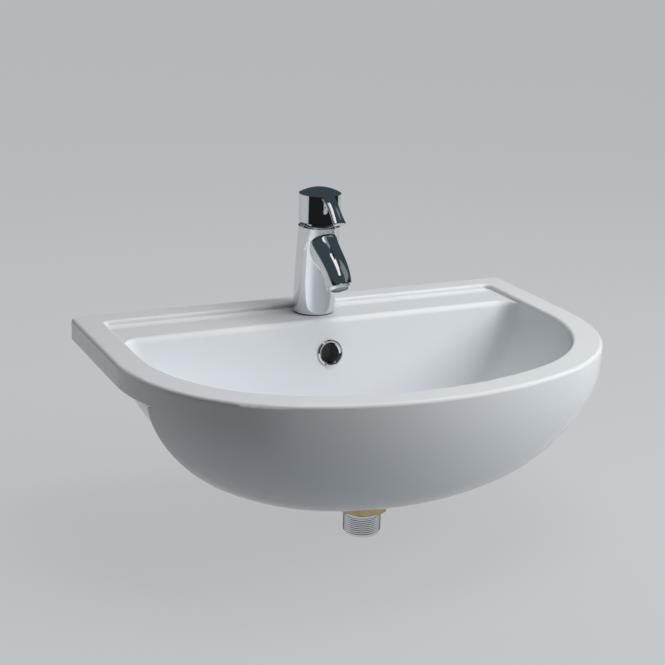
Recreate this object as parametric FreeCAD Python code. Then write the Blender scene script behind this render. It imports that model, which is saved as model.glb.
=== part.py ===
import FreeCAD, Part
import math
import os

# Semi recessed washbasin with one tap hole, a single lever mixer and a click waste.
# Frame: X to the right, -Y to the front, +Z up, millimetres.  Z = 0 is the worktop
# that the rim rests on, X = 0 the plane of symmetry, and the origin a point of the
# rear seat strip, SEAT_POINT in front of the back edge.

V = FreeCAD.Vector
os.makedirs("parts", exist_ok=True)

# ---- china: rim and plan outline ----
SEAT_POINT = 14.0        # origin to the back edge
HALF_WIDTH = 275.0
DEPTH = 380.0
SIDE_RADIUS = 194.0      # plan radius where the sides turn to the front
FRONT_RADIUS = 405.0     # plan radius of the bow front
CORNER_RADIUS = 8.0      # rear corners in plan
RIM_HEIGHT = 26.0        # top of the rim above the worktop
RIM_WIDTH = 30.0         # outer edge to the bowl
RIM_ROUND = 4.0          # outer top and bottom edges
INNER_ROUND = 3.0        # edge between the rim and the bowl
# ---- china: hull in front of the worktop ----
NOTCH_DEPTH = 238.0      # back edge to the back face of the hanging bowl
HULL_DROP = 130.5        # worktop to the lowest point of the hull
HULL_INSET = 194.0       # how far the sides come in over that drop
HULL_FRONT_SHARE = 0.65  # the front comes in by this share of the sides
HULL_POWERS = (1.54, 2.14)
# ---- china: bowl, ledge and wall ----
LEDGE_DROP = 5.0         # tap ledge below the rim
LEDGE_EDGE = 8.0         # round edge from the ledge to the rear wall
NOTCH_ROOT = 4.0         # straight length of the rear bowl behind the hull
REAR_STRIP = 29.0        # rim width along the back
BOWL_BACK = 86.6         # back edge to the rear wall, at ledge height
BOWL_LEAN = 14.5         # rear wall, degrees from upright
BOWL_DROP = 118.0        # worktop to the bowl floor
BOWL_IN_SHARE = 0.6      # how far the sides come in at the floor, as a share of the half width
BOWL_FRONT_INSET = 107.0
BOWL_POWERS = (1.5, 2.3)
HEEL_INSET = 34.0        # round from the rear wall to the floor
HEEL_POWERS = (7.0, 2.2)
BOWL_CORNER = 22.0       # crease between the rear wall and the side walls
CORNER_SHARPEN = 0.35    # share by which the crease tightens towards the floor
CHINA_WALL = 11.0
LEDGE_WALL = 12.0        # china between the ledge and the pocket below it
POCKET_WIDTH = 130.0     # hand pocket under the ledge
SECTIONS = 9             # horizontal sections of each lofted surface
ROUND_STEPS = 6          # sections of the rounded ledge edge
# ---- tap hole, overflow and outlet ----
TAP_BACK = 48.0          # back edge to the tap hole
TAP_HOLE = 35.0
TAP_LANDING = 27.0       # radius of the round landing of the tap
OVERFLOW_Z = -16.2
OVERFLOW_BORE = 25.0
CHANNEL_WIDTH = 34.0     # overflow channel behind the rear wall
CHANNEL_DEPTH = 12.0
CHANNEL_SKIN = 8.0       # china each side of the channel
OUTLET_BACK = 192.0      # back edge to the waste
OUTLET_BORE = 46.0
OUTLET_DISH = 3.0        # conical dish round the waste
OUTLET_DISH_RADIUS = 60.0
BOSS_RADIUS = 42.0
BOSS_BOTTOM = -152.0
# ---- overflow ring ----
RING_OUTER = 15.2
RING_BORE = 10.8
RING_LENGTH = 15.0
# ---- waste ----
FLANGE_RADIUS = 31.5
FLANGE_THICK = 2.5
WASTE_RADIUS = 20.95     # G 1 1/4 tail
WASTE_WALL = 2.2
WASTE_LENGTH = 78.0
TAIL_GROOVE = 2.0        # plain groove between the backnut thread and the trap thread
SEAL_THICK = 2.0
SLOT_COUNT = 4
SLOT_WIDTH = 14.0
SLOT_HEIGHT = 10.0
WASHER_THICK = 5.0
BACKNUT_HEIGHT = 9.0
BACKNUT_FLATS = 54.0
CLICK_RADIUS = 9.0
CLICK_LENGTH = 38.0
SPIDER_HEIGHT = 5.0
PLUG_RADIUS = 28.5
PLUG_LIFT = 9.0          # open plug above its closed place
PLUG_SEAL = 1.2          # plug above the flange when closed
PLUG_LIP = 2.0
PLUG_SKIN = 1.5
PLUG_DOME = 5.4
PLUG_GRIP = 5.0          # plunger inside the plug
PLUNGER_RADIUS = 4.0
SPRING_WIRE = 1.2
SPRING_TURNS = 6
# ---- mixer body ----
BASE_RADIUS = 24.3
TOP_RADIUS = 23.8
LEAN = 9.0               # top of the body in front of its base
BODY_HEIGHT = 101.5
BODY_WALL = 3.6
BASE_SEAL = 1.5
CAVITY_HEIGHT = 62.0
SPOUT_ROOT_RADIUS = 17.5
SPOUT_END_RADIUS = 14.6
SPOUT_BLEND = 3.5        # fillet where the spout leaves the body
SPOUT_SLOPE = 32.8       # spout below level, degrees
OUTLET_TILT = 34.0       # outlet axis from plumb, degrees
SPOUT_REACH = 66.6       # tap hole to the mouth
SPOUT_MOUTH_DROP = 57.2  # top of the body to the mouth
ELBOW_BACK = 18.8        # mouth to the bend of the spout axis
WATERWAY_RADIUS = 6.0
AERATOR_THREAD = 12.0    # M24 x 1
AERATOR_DEPTH = 14.0
AERATOR_FACE = 9.9
PORT_RADIUS = 4.5        # M10 x 1 inlet ports
PORT_SPACING = 16.0
PORT_BACK = 6.0          # ports behind the tap hole's centre
PORT_LENGTH = 12.0
PORT_WAY = 2.0           # radius of the ways up to the cartridge
TOP_LIP = 1.5            # thin wall at the top of the body
TOP_RECESS = 3.6         # depth of the recess that the handle dips into
# ---- cartridge ----
CART_RADIUS = 12.5
CART_BASE_HEIGHT = 16.0
NECK_RADIUS = 10.3
NECK_HEIGHT = 15.5
CART_BELOW_TOP = 16.0    # cartridge seat under the top of the body
CHAMBER_RADIUS = 10.2
DISC_THICK = 3.0
FIXED_RADIUS = 9.7
MOVING_RADIUS = 7.0
DRIVER_RADIUS = 6.2
DRIVER_HEIGHT = 3.8
DRIVE_ARM = 17.0         # pivot to the ball of the lever spindle
BALL_RADIUS = 1.7
LIFT = 20.0              # lift of the lever, degrees
PIVOT_ABOVE_TOP = 12.0   # pivot above the top of the body
CARRIER_RADIUS = 8.0
PIN_RADIUS = 1.2
SPINDLE_SIDE = 7.5
SPINDLE_BLADE = 5.0
SPINDLE_RISE = 22.0      # pivot to the top of the square
NUT_RADIUS = 15.0
NUT_FLATS = 25.6
COVER_RADIUS = 16.6
COVER_WALL = 0.9
# ---- handle ----
HANDLE_RADIUS = 24.0
HANDLE_GAP = 5.0         # handle above the body
HANDLE_HEIGHT = 32.0
HANDLE_WALL = 3.0
DOME_HEIGHT = 6.6
SKIRT_DEPTH = 20.0
LEVER_TIP = 15.4         # lever width at the tip
LEVER_THICK = 6.0
LEVER_TIP_THICK = 3.4
LEVER_CROWN = 0.8        # height of the lever's rounded top
LEVER_CORNER = 4.0       # corners of the tip in plan
LEVER_REACH = 56.0       # handle axis to the tip
LEVER_FALL = 29.2        # dome top to the tip
# shares of the reach, of the fall and of the tip width along the lever
LEVER_PATH = ((0.12, 0.048, 1.20), (0.21, 0.068, 1.20), (0.30, 0.105, 1.16), (0.41, 0.180, 1.05),
              (0.57, 0.333, 0.94), (0.66, 0.454, 0.91), (0.75, 0.600, 0.90), (0.84, 0.755, 0.92),
              (0.93, 0.902, 0.96), (1.00, 1.000, 1.00))
GRUB_RADIUS = 2.0
GRUB_LENGTH = 9.0
# ---- fixing under the ledge ----
STUD_RADIUS = 4.0
STUD_LENGTH = 116.0
STUD_GRIP = 8.0          # stud inside the mixer body
STUD_OFFSET = 8.0        # stud in front of the tap hole's centre
HORSESHOE_OUTER = 23.0
HOSE_ROOM = 5.4          # radius left free round each hose in the horseshoe
FIX_GASKET = 3.0
FIX_PLATE = 2.5
FIX_NUT_FLATS = 12.8
FIX_NUT_HEIGHT = 20.0
# ---- clearances ----
FIT = 0.15               # between pieces of one body
NUDGE = 0.03             # past a face that a cut would only touch
RUN = 0.3                # between pieces that move on each other
OPEN = 400.0             # oversize for cutting blocks

# ---- places worked out from the driving values ----
BACK_Y = SEAT_POINT
NOTCH_Y = BACK_Y - NOTCH_DEPTH
LEDGE_Z = RIM_HEIGHT - LEDGE_DROP
LEDGE_UNDER = LEDGE_Z - LEDGE_WALL
TAP_Y = BACK_Y - TAP_BACK
HANDLE_Y = TAP_Y - LEAN
OUTLET_Y = BACK_Y - OUTLET_BACK
LEAN_RATE = math.tan(math.radians(BOWL_LEAN))
OVERFLOW_Y = BACK_Y - BOWL_BACK - (LEDGE_Z - OVERFLOW_Z) * LEAN_RATE
DISH_Z = -BOWL_DROP - OUTLET_DISH
BASE_Z = LEDGE_Z + BASE_SEAL
TOP_Z = BASE_Z + BODY_HEIGHT
SEAT_Z = TOP_Z - CART_BELOW_TOP
PIVOT_Z = TOP_Z + PIVOT_ABOVE_TOP
HANDLE_Z = TOP_Z + HANDLE_GAP
DOME_Z = HANDLE_Z + HANDLE_HEIGHT


def cyl(radius, height, x, y, z, axis=V(0, 0, 1)):
    return Part.makeCylinder(radius, height, V(x, y, z), axis)


def tube(outer, inner, height, x, y, z):
    return cyl(outer, height, x, y, z).cut(cyl(inner, height, x, y, z))


def block(x0, x1, y0, y1, z0, z1):
    return Part.makeBox(x1 - x0, y1 - y0, z1 - z0, V(x0, y0, z0))


def circle_wire(radius, centre, axis):
    return Part.Wire(Part.makeCircle(radius, centre, axis))


def hexagon(flats, height, x, y, z):
    corner = flats / math.sqrt(3)
    points = [V(x + corner * math.cos(math.radians(60 * k)),
                y + corner * math.sin(math.radians(60 * k)), z) for k in range(7)]
    return Part.Face(Part.makePolygon(points)).extrude(V(0, 0, height))


def revolve(points, x, y):
    """Solid of revolution about the upright line through x, y, from (radius, z) corners."""
    outline = [V(x + r, y, z) for r, z in points]
    face = Part.Face(Part.makePolygon(outline + outline[:1]))
    return face.revolve(V(x, y, 0), V(0, 0, 1), 360)


def save(name, shape):
    solid = shape.removeSplitter()
    if solid.ShapeType != "Solid" and len(solid.Solids) == 1:
        solid = solid.Solids[0]
    solid.exportStep("parts/" + name + ".step")


# ---------------------------------------------------------------- china
def arc(centre, radius, a0, a1, z):
    """Arc through three points of a circle in plan; angles in degrees."""
    points = [V(centre[0] + radius * math.cos(math.radians(a)),
                centre[1] + radius * math.sin(math.radians(a)), z)
              for a in (a0, (a0 + a1) / 2, a1)]
    return Part.Arc(*points).toShape()


def plan_wire(half_width, front, back, z, corner):
    """D shaped outline: straight back, parallel sides and a bow front of three arcs."""
    side_r = SIDE_RADIUS * half_width / HALF_WIDTH
    front_r = FRONT_RADIUS * half_width / HALF_WIDTH
    front_y = BACK_Y - front
    bow_y = front_y + front_r
    swing = math.asin((half_width - side_r) / (front_r - side_r))
    side_x = (front_r - side_r) * math.sin(swing)
    side_y = bow_y - (front_r - side_r) * math.cos(swing)
    turn = math.degrees(swing) - 90
    edges = [
        Part.makeLine(V(-half_width + corner, back, z), V(half_width - corner, back, z)),
        arc((half_width - corner, back - corner), corner, 90, 0, z),
        Part.makeLine(V(half_width, back - corner, z), V(half_width, side_y, z)),
        arc((side_x, side_y), side_r, 0, turn, z),
        arc((0, bow_y), front_r, turn, -180 - turn, z),
        arc((-side_x, side_y), side_r, -180 - turn, -180, z),
        Part.makeLine(V(-half_width, side_y, z), V(-half_width, back - corner, z)),
        arc((-half_width + corner, back - corner), corner, 180, 90, z),
    ]
    return Part.Wire(edges)


def inset_at(share, inset, powers):
    """Rounded profile: 0 at the top, upright there, and the full inset at the bottom."""
    return inset * (1 - (1 - share ** powers[0]) ** (1 / powers[1]))


def levels():
    """Shares of the drop, closer together towards the bottom."""
    return [math.sin(math.radians(90 * k / (SECTIONS - 1))) ** 0.9 * 0.995
            for k in range(SECTIONS)]


def hull():
    wires = []
    for share in levels():
        inset = inset_at(share, HULL_INSET, HULL_POWERS)
        front = DEPTH - HULL_FRONT_SHARE * inset
        z = -HULL_DROP * share
        wires.append(plan_wire(HALF_WIDTH - inset, front, BACK_Y, z, CORNER_RADIUS))
    return Part.makeLoft(wires, True, False)


def bowl(grow):
    """Bowl space, or with grow the same form thickened by a wall."""
    wires = []
    drop = LEDGE_Z + BOWL_DROP + grow
    for share in levels():
        z = LEDGE_Z - drop * share
        half = HALF_WIDTH - RIM_WIDTH + grow - inset_at(share, BOWL_IN_SHARE * HALF_WIDTH, BOWL_POWERS)
        front = DEPTH - RIM_WIDTH + grow - inset_at(share, BOWL_FRONT_INSET, BOWL_POWERS)
        heel = inset_at(share, HEEL_INSET, HEEL_POWERS)
        back = BACK_Y - BOWL_BACK + grow - (LEDGE_Z - z) * LEAN_RATE - heel
        corner = BOWL_CORNER * (1 - CORNER_SHARPEN * share) + grow
        wires.append(plan_wire(half, front, back, z, corner))
    return Part.makeLoft(wires, True, False)


def level_edges(shape):
    return [e for e in shape.Edges if abs(e.BoundBox.ZMax - e.BoundBox.ZMin) < FIT]


def rim_slab():
    """Rim and tap ledge in one, with the outer and inner edges of the rim rounded."""
    face = Part.Face(plan_wire(HALF_WIDTH, DEPTH, BACK_Y, 0, CORNER_RADIUS))
    slab = face.extrude(V(0, 0, RIM_HEIGHT))
    slab = slab.makeFillet(RIM_ROUND, level_edges(slab))
    slab = slab.cut(ledge_space())
    inside = HALF_WIDTH - RIM_WIDTH + FIT
    edges = [e for e in level_edges(slab)
             if abs(e.BoundBox.ZMax - RIM_HEIGHT) < FIT and -e.BoundBox.XMin < inside
             and e.BoundBox.XMax < inside and e.BoundBox.YMax < BACK_Y - 2 * RIM_ROUND
             and e.BoundBox.YMin > BACK_Y - DEPTH + RIM_WIDTH - FIT]
    return slab.makeFillet(INNER_ROUND, edges)


def ledge_space():
    """Space over the tap ledge, down to the ledge, with the round tap landing."""
    half = HALF_WIDTH - RIM_WIDTH
    wire = plan_wire(half, DEPTH - RIM_WIDTH, BACK_Y - REAR_STRIP, LEDGE_Z, CORNER_RADIUS)
    space = Part.Face(wire).extrude(V(0, 0, RIM_HEIGHT))
    return space.fuse(cyl(TAP_LANDING, RIM_HEIGHT, 0, TAP_Y, LEDGE_Z))


def notch_root():
    """Straight root of the rear bowl, square to the back face of the hull."""
    outline = bowl(CHINA_WALL).slice(V(0, 1, 0), NOTCH_Y)[0]
    root = Part.Face(outline).extrude(V(0, NOTCH_ROOT, 0))
    return root.common(block(-OPEN, OPEN, NOTCH_Y, BACK_Y, -OPEN, LEDGE_Z))


def ledge_round():
    """Space cut away to round the long edge where the tap ledge turns down into the bowl.

    Its back face is the round; its sides stay inside the bowl, so the round fades out
    along the two corners."""
    lean = math.radians(BOWL_LEAN)
    level = LEDGE_Z - LEDGE_EDGE + NUDGE
    depth = BACK_Y - BOWL_BACK + LEDGE_EDGE * (math.cos(lean) - math.tan(lean) * (1 - math.sin(lean)))
    wires = []
    for k in range(ROUND_STEPS + 1):
        turn = lean + (math.pi / 2 - lean) * k / ROUND_STEPS
        z = level + LEDGE_EDGE * math.sin(turn)
        back = depth - NUDGE - LEDGE_EDGE * math.cos(turn)
        wall = BACK_Y - BOWL_BACK - (LEDGE_Z - z) * LEAN_RATE
        share = max((LEDGE_Z - z) / (LEDGE_Z + BOWL_DROP), 0)
        half = HALF_WIDTH - RIM_WIDTH - FIT - inset_at(share, BOWL_IN_SHARE * HALF_WIDTH, BOWL_POWERS)
        corner = BOWL_CORNER * (1 - CORNER_SHARPEN * share) + back - wall - 2 * NUDGE
        front = BACK_Y - BOWL_BACK - 2 * BOWL_CORNER
        edges = [
            Part.makeLine(V(-half, front, z), V(half, front, z)),
            Part.makeLine(V(half, front, z), V(half, back - corner, z)),
            arc((half - corner, back - corner), corner, 0, 90, z),
            Part.makeLine(V(half - corner, back, z), V(-half + corner, back, z)),
            arc((-half + corner, back - corner), corner, 90, 180, z),
            Part.makeLine(V(-half, back - corner, z), V(-half, front, z)),
        ]
        wires.append(Part.Wire(edges))
    return Part.makeLoft(wires, True, False)


def overflow_axis():
    """Outward axis of the overflow, square to the leaning rear wall."""
    lean = math.radians(BOWL_LEAN)
    return V(0, -math.cos(lean), math.sin(lean))


def channel(width, near, far, end):
    """Overflow channel: down behind the rear wall, then forward under the floor.

    near and far are its two sides, measured out from the bowl."""
    top = OVERFLOW_Z + OVERFLOW_BORE / 2 + end
    floor = -BOWL_DROP
    back_top = BACK_Y - BOWL_BACK - (LEDGE_Z - top) * LEAN_RATE
    back_low = BACK_Y - BOWL_BACK - (LEDGE_Z - floor) * LEAN_RATE
    points = [V(0, back_top + near, top), V(0, back_top + far, top),
              V(0, back_low + far, floor), V(0, back_low, floor - far),
              V(0, OUTLET_Y, floor - far), V(0, OUTLET_Y, floor - near),
              V(0, back_low, floor - near), V(0, back_low + near, floor)]
    face = Part.Face(Part.makePolygon(points + points[:1]))
    face.translate(V(-width / 2, 0, 0))
    return face.extrude(V(width, 0, 0))


def basin():
    front_half = block(-OPEN, OPEN, BACK_Y - 2 * OPEN, NOTCH_Y, -OPEN, OPEN)
    rear_half = block(-OPEN, OPEN, NOTCH_Y + NOTCH_ROOT, BACK_Y + OPEN, -OPEN, LEDGE_Z)
    collar_face = Part.Face(plan_wire(HALF_WIDTH, DEPTH, BACK_Y, 0, CORNER_RADIUS))
    collar = collar_face.extrude(V(0, 0, RIM_HEIGHT / 2))
    collar = collar.common(block(-OPEN, OPEN, BACK_Y - 2 * OPEN, NOTCH_Y - RIM_ROUND, 0, OPEN))
    china = rim_slab().fuse(collar)
    china = china.fuse(hull().common(front_half))
    china = china.fuse(bowl(CHINA_WALL).common(rear_half)).fuse(notch_root())
    china = china.fuse(cyl(BOSS_RADIUS, -BOWL_DROP - BOSS_BOTTOM, 0, OUTLET_Y, BOSS_BOTTOM))
    near = CHANNEL_SKIN
    far = near + CHANNEL_DEPTH
    china = china.fuse(channel(CHANNEL_WIDTH + 2 * CHINA_WALL, near, far + CHANNEL_SKIN, CHINA_WALL))
    china = china.cut(bowl(0.0))
    pocket = block(-POCKET_WIDTH / 2, POCKET_WIDTH / 2, BACK_Y - BOWL_BACK + CHINA_WALL,
                   BACK_Y - REAR_STRIP + 6, -1, LEDGE_UNDER)
    china = china.cut(pocket)
    china = china.cut(cyl(TAP_HOLE / 2, 60, 0, TAP_Y, -20))
    dish = Part.makeCone(OUTLET_BORE / 2 + 2, OUTLET_DISH_RADIUS, OUTLET_DISH,
                         V(0, OUTLET_Y, DISH_Z))
    china = china.cut(dish)
    china = china.cut(cyl(FLANGE_RADIUS + 2, 30, 0, OUTLET_Y, DISH_Z))
    china = china.cut(cyl(OUTLET_BORE / 2, 100, 0, OUTLET_Y, BOSS_BOTTOM - 20))
    china = china.cut(channel(CHANNEL_WIDTH, near, far, 0.0))
    hole = cyl(OVERFLOW_BORE / 2, 40, 0, OVERFLOW_Y, OVERFLOW_Z, overflow_axis())
    hole.translate(overflow_axis() * -20)
    return china.cut(hole).cut(ledge_round())


save("basin", basin())


# ---------------------------------------------------------------- overflow ring
def overflow_ring():
    """Flared chrome ring pushed into the overflow, with a sleeve in the china."""
    sleeve = OVERFLOW_BORE / 2 - RUN
    skin = 1.2
    points = [(RING_BORE, -RING_LENGTH), (sleeve, -RING_LENGTH), (sleeve, RUN),
              (RING_OUTER, RUN), (RING_OUTER, 1.2), (RING_OUTER - 1.6, 2.4),
              (RING_BORE + skin, 2.0), (RING_BORE, 0.6)]
    ring = revolve(points, 0, 0)
    ring.rotate(V(0, 0, 0), V(1, 0, 0), 90 - BOWL_LEAN)
    ring.translate(V(0, OVERFLOW_Y, OVERFLOW_Z))
    return ring


save("overflow_ring", overflow_ring())


# ---------------------------------------------------------------- waste
def waste_body():
    """Flanged tail with overflow slots and a spider that holds the click sleeve."""
    seat = DISH_Z + SEAL_THICK
    top = seat + FLANGE_THICK
    bore = WASTE_RADIUS - WASTE_WALL
    low = top - WASTE_LENGTH
    groove = BOSS_BOTTOM - WASHER_THICK - BACKNUT_HEIGHT - TAIL_GROOVE
    points = [(bore, low), (WASTE_RADIUS - 1, low), (WASTE_RADIUS, low + 1),
              (WASTE_RADIUS, groove - TAIL_GROOVE), (WASTE_RADIUS - 0.6, groove - TAIL_GROOVE),
              (WASTE_RADIUS - 0.6, groove), (WASTE_RADIUS, groove), (WASTE_RADIUS, seat),
              (FLANGE_RADIUS, seat), (FLANGE_RADIUS, seat + 0.8), (FLANGE_RADIUS - 5, top),
              (bore + 3, top), (bore, top - 3)]
    body = revolve(points, 0, OUTLET_Y)
    slot_z = -BOWL_DROP - CHANNEL_SKIN - CHANNEL_DEPTH
    for k in range(SLOT_COUNT):
        slot = block(0, 2 * WASTE_RADIUS, -SLOT_WIDTH / 2, SLOT_WIDTH / 2, slot_z, slot_z + SLOT_HEIGHT)
        slot.rotate(V(0, 0, 0), V(0, 0, 1), 90 + 360 * k / SLOT_COUNT)
        slot.translate(V(0, OUTLET_Y, 0))
        body = body.cut(slot)
    z = slot_z - SPIDER_HEIGHT - 1
    spider = cyl(CLICK_RADIUS + 3, SPIDER_HEIGHT, 0, OUTLET_Y, z)
    for turn in (0, 90):
        arm = block(-bore - 0.5, bore + 0.5, -1.5, 1.5, z, z + SPIDER_HEIGHT)
        arm.rotate(V(0, 0, 0), V(0, 0, 1), turn + 45)
        arm.translate(V(0, OUTLET_Y, 0))
        spider = spider.fuse(arm)
    body = body.fuse(spider)
    return body.cut(cyl(CLICK_RADIUS + FIT, 40, 0, OUTLET_Y, z - 20))


def click_top():
    """Top of the click sleeve, below the closed plug."""
    return DISH_Z + SEAL_THICK + FLANGE_THICK - 5.0


def click_sleeve():
    """Closed sleeve with a shoulder that stands on the spider."""
    top = click_top()
    spider_top = -BOWL_DROP - CHANNEL_SKIN - CHANNEL_DEPTH - 1
    bore = PLUNGER_RADIUS + 2.4
    low = top - CLICK_LENGTH
    points = [(0, low), (CLICK_RADIUS, low), (CLICK_RADIUS, spider_top),
              (CLICK_RADIUS + 2, spider_top), (CLICK_RADIUS + 2, spider_top + 2),
              (CLICK_RADIUS, spider_top + 3), (CLICK_RADIUS, top), (PLUNGER_RADIUS + RUN, top),
              (PLUNGER_RADIUS + RUN, top - 2), (bore, top - 2), (bore, low + 2), (0, low + 2)]
    return revolve(points, 0, OUTLET_Y)


def plunger():
    """Stem with a collar for the spring, screwed into the plug; shown with the plug open."""
    top = click_top() + PLUG_LIFT + PLUG_GRIP
    low = click_top() - 2 - 0.3 - 4
    collar = PLUNGER_RADIUS + 2.0
    points = [(0, low - 8), (2.2, low - 8), (2.2, low), (collar, low), (collar, low + 4),
              (PLUNGER_RADIUS, low + 4), (PLUNGER_RADIUS, top), (0, top)]
    return revolve(points, 0, OUTLET_Y)


def click_spring():
    low = click_top() - CLICK_LENGTH + 2 + SPRING_WIRE / 2 + 0.2
    high = click_top() - 2 - 0.3 - 4 - SPRING_WIRE / 2 - 0.2
    radius = PLUNGER_RADIUS + 0.6
    helix = Part.makeHelix((high - low) / SPRING_TURNS, high - low, radius)
    corners = [V(radius + SPRING_WIRE / 2 * math.cos(math.radians(60 * k)), 0,
                 SPRING_WIRE / 2 * math.sin(math.radians(60 * k))) for k in range(7)]
    spring = Part.Wire(helix.Edges).makePipeShell([Part.makePolygon(corners)], True, True)
    spring.translate(V(0, OUTLET_Y, low))
    return spring


def plug_rim():
    """Underside of the plug's lip, with the plug open."""
    return DISH_Z + SEAL_THICK + FLANGE_THICK + PLUG_SEAL + PLUG_LIFT


def plug():
    """Shallow domed cap over the flange, with a boss for the plunger."""
    rim = plug_rim()
    lip = PLUG_RADIUS - PLUG_LIP
    inner = lip - PLUG_LIP
    bore = PLUNGER_RADIUS + FIT
    seat = click_top() + PLUG_LIFT + PLUG_GRIP + FIT
    boss = click_top() + PLUG_LIFT + PLUG_SKIN
    points = [(bore, boss), (bore + 2 * PLUG_SKIN, boss), (bore + 2 * PLUG_SKIN, rim + PLUG_SKIN),
              (inner, rim + 0.7 * PLUG_SKIN), (inner, rim - PLUG_SKIN / 2), (lip, rim - PLUG_SKIN / 2),
              (lip, rim), (PLUG_RADIUS, rim), (PLUG_RADIUS, rim + 0.2 * PLUG_DOME),
              (PLUG_RADIUS - 1.5 * PLUG_LIP, rim + 0.6 * PLUG_DOME),
              (PLUG_RADIUS / 2, rim + 0.9 * PLUG_DOME), (0, rim + PLUG_DOME), (0, seat), (bore, seat)]
    return revolve(points, 0, OUTLET_Y)


def plug_seal():
    inner = PLUG_RADIUS - PLUG_LIP
    height = PLUG_SEAL - FIT
    return tube(inner + 0.7 * PLUG_LIP, inner, height, 0, OUTLET_Y, plug_rim() - height)


def backnut():
    top = BOSS_BOTTOM - WASHER_THICK
    nut = hexagon(BACKNUT_FLATS, BACKNUT_HEIGHT, 0, OUTLET_Y, top - BACKNUT_HEIGHT)
    flange = cyl(BACKNUT_FLATS / 2 + 2, 2, 0, OUTLET_Y, top - 2)
    round_off = Part.makeCone(BACKNUT_FLATS / 2 + 1, BACKNUT_FLATS / 2 + 1 + BACKNUT_HEIGHT,
                              BACKNUT_HEIGHT, V(0, OUTLET_Y, top - BACKNUT_HEIGHT))
    nut = nut.common(round_off).fuse(flange)
    return nut.cut(cyl(WASTE_RADIUS + FIT, 3 * BACKNUT_HEIGHT, 0, OUTLET_Y, top - 2 * BACKNUT_HEIGHT))


save("waste_body", waste_body())
save("waste_flange_seal", tube(FLANGE_RADIUS - 1, WASTE_RADIUS + FIT, SEAL_THICK, 0, OUTLET_Y, DISH_Z))
save("waste_lower_washer", tube(BACKNUT_FLATS / 2 + 4, WASTE_RADIUS + FIT, WASHER_THICK,
                                0, OUTLET_Y, BOSS_BOTTOM - WASHER_THICK))
save("waste_backnut", backnut())
save("waste_click_sleeve", click_sleeve())
save("waste_plunger", plunger())
save("waste_spring", click_spring())
save("waste_plug", plug())
save("waste_plug_seal", plug_seal())


# ---------------------------------------------------------------- mixer body
def spout_mouth():
    """Centre of the spout mouth."""
    return V(0, TAP_Y - SPOUT_REACH, TOP_Z - SPOUT_MOUTH_DROP)


def mouth_axis():
    tilt = math.radians(OUTLET_TILT)
    return V(0, -math.sin(tilt), -math.cos(tilt))


def spout_axis():
    slope = math.radians(SPOUT_SLOPE)
    return V(0, -math.cos(slope), -math.sin(slope))


def elbow():
    """Point where the spout axis and the outlet axis cross."""
    return spout_mouth() - mouth_axis() * ELBOW_BACK


def body_sections(shrink, low, high):
    """Circles of the leaning body between two heights above its base."""
    wires = []
    for share in (0.0, 0.26, 0.62, 1.0):
        level = low + (high - low) * share
        rise = min(max(level / BODY_HEIGHT, 0.0), 1.0)
        eased = rise * rise * (1.6 - 0.6 * rise)
        radius = BASE_RADIUS + (TOP_RADIUS - BASE_RADIUS) * rise - shrink
        centre = V(0, TAP_Y - LEAN * eased, BASE_Z + level)
        wires.append(circle_wire(radius, centre, V(0, 0, 1)))
    return Part.makeLoft(wires, True, False)


def spout():
    root = elbow() - spout_axis() * 46
    middle = elbow() - spout_axis() * 16
    bend = elbow() + (mouth_axis() + spout_axis()) * 1.5
    middle_radius = SPOUT_END_RADIUS + (SPOUT_ROOT_RADIUS - SPOUT_END_RADIUS) * 0.4
    wires = [circle_wire(SPOUT_ROOT_RADIUS, root, spout_axis()),
             circle_wire(middle_radius, middle, spout_axis()),
             circle_wire(SPOUT_END_RADIUS + 0.3, bend, mouth_axis() + spout_axis()),
             circle_wire(SPOUT_END_RADIUS, spout_mouth(), mouth_axis())]
    return Part.makeLoft(wires, True, False)


def drill(radius, start, end):
    way = end - start
    return Part.makeCylinder(radius, way.Length, start, way)


def cast_body():
    """Leaning body and spout in one, with a fillet where they meet."""
    cast = body_sections(0.0, 0.0, BODY_HEIGHT).fuse(spout())
    root = [e for e in cast.Edges
            if e.Length > 4 * SPOUT_ROOT_RADIUS and e.BoundBox.YMin > elbow().y
            and e.BoundBox.ZMax - e.BoundBox.ZMin > SPOUT_ROOT_RADIUS]
    return cast.makeFillet(SPOUT_BLEND, root)


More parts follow.
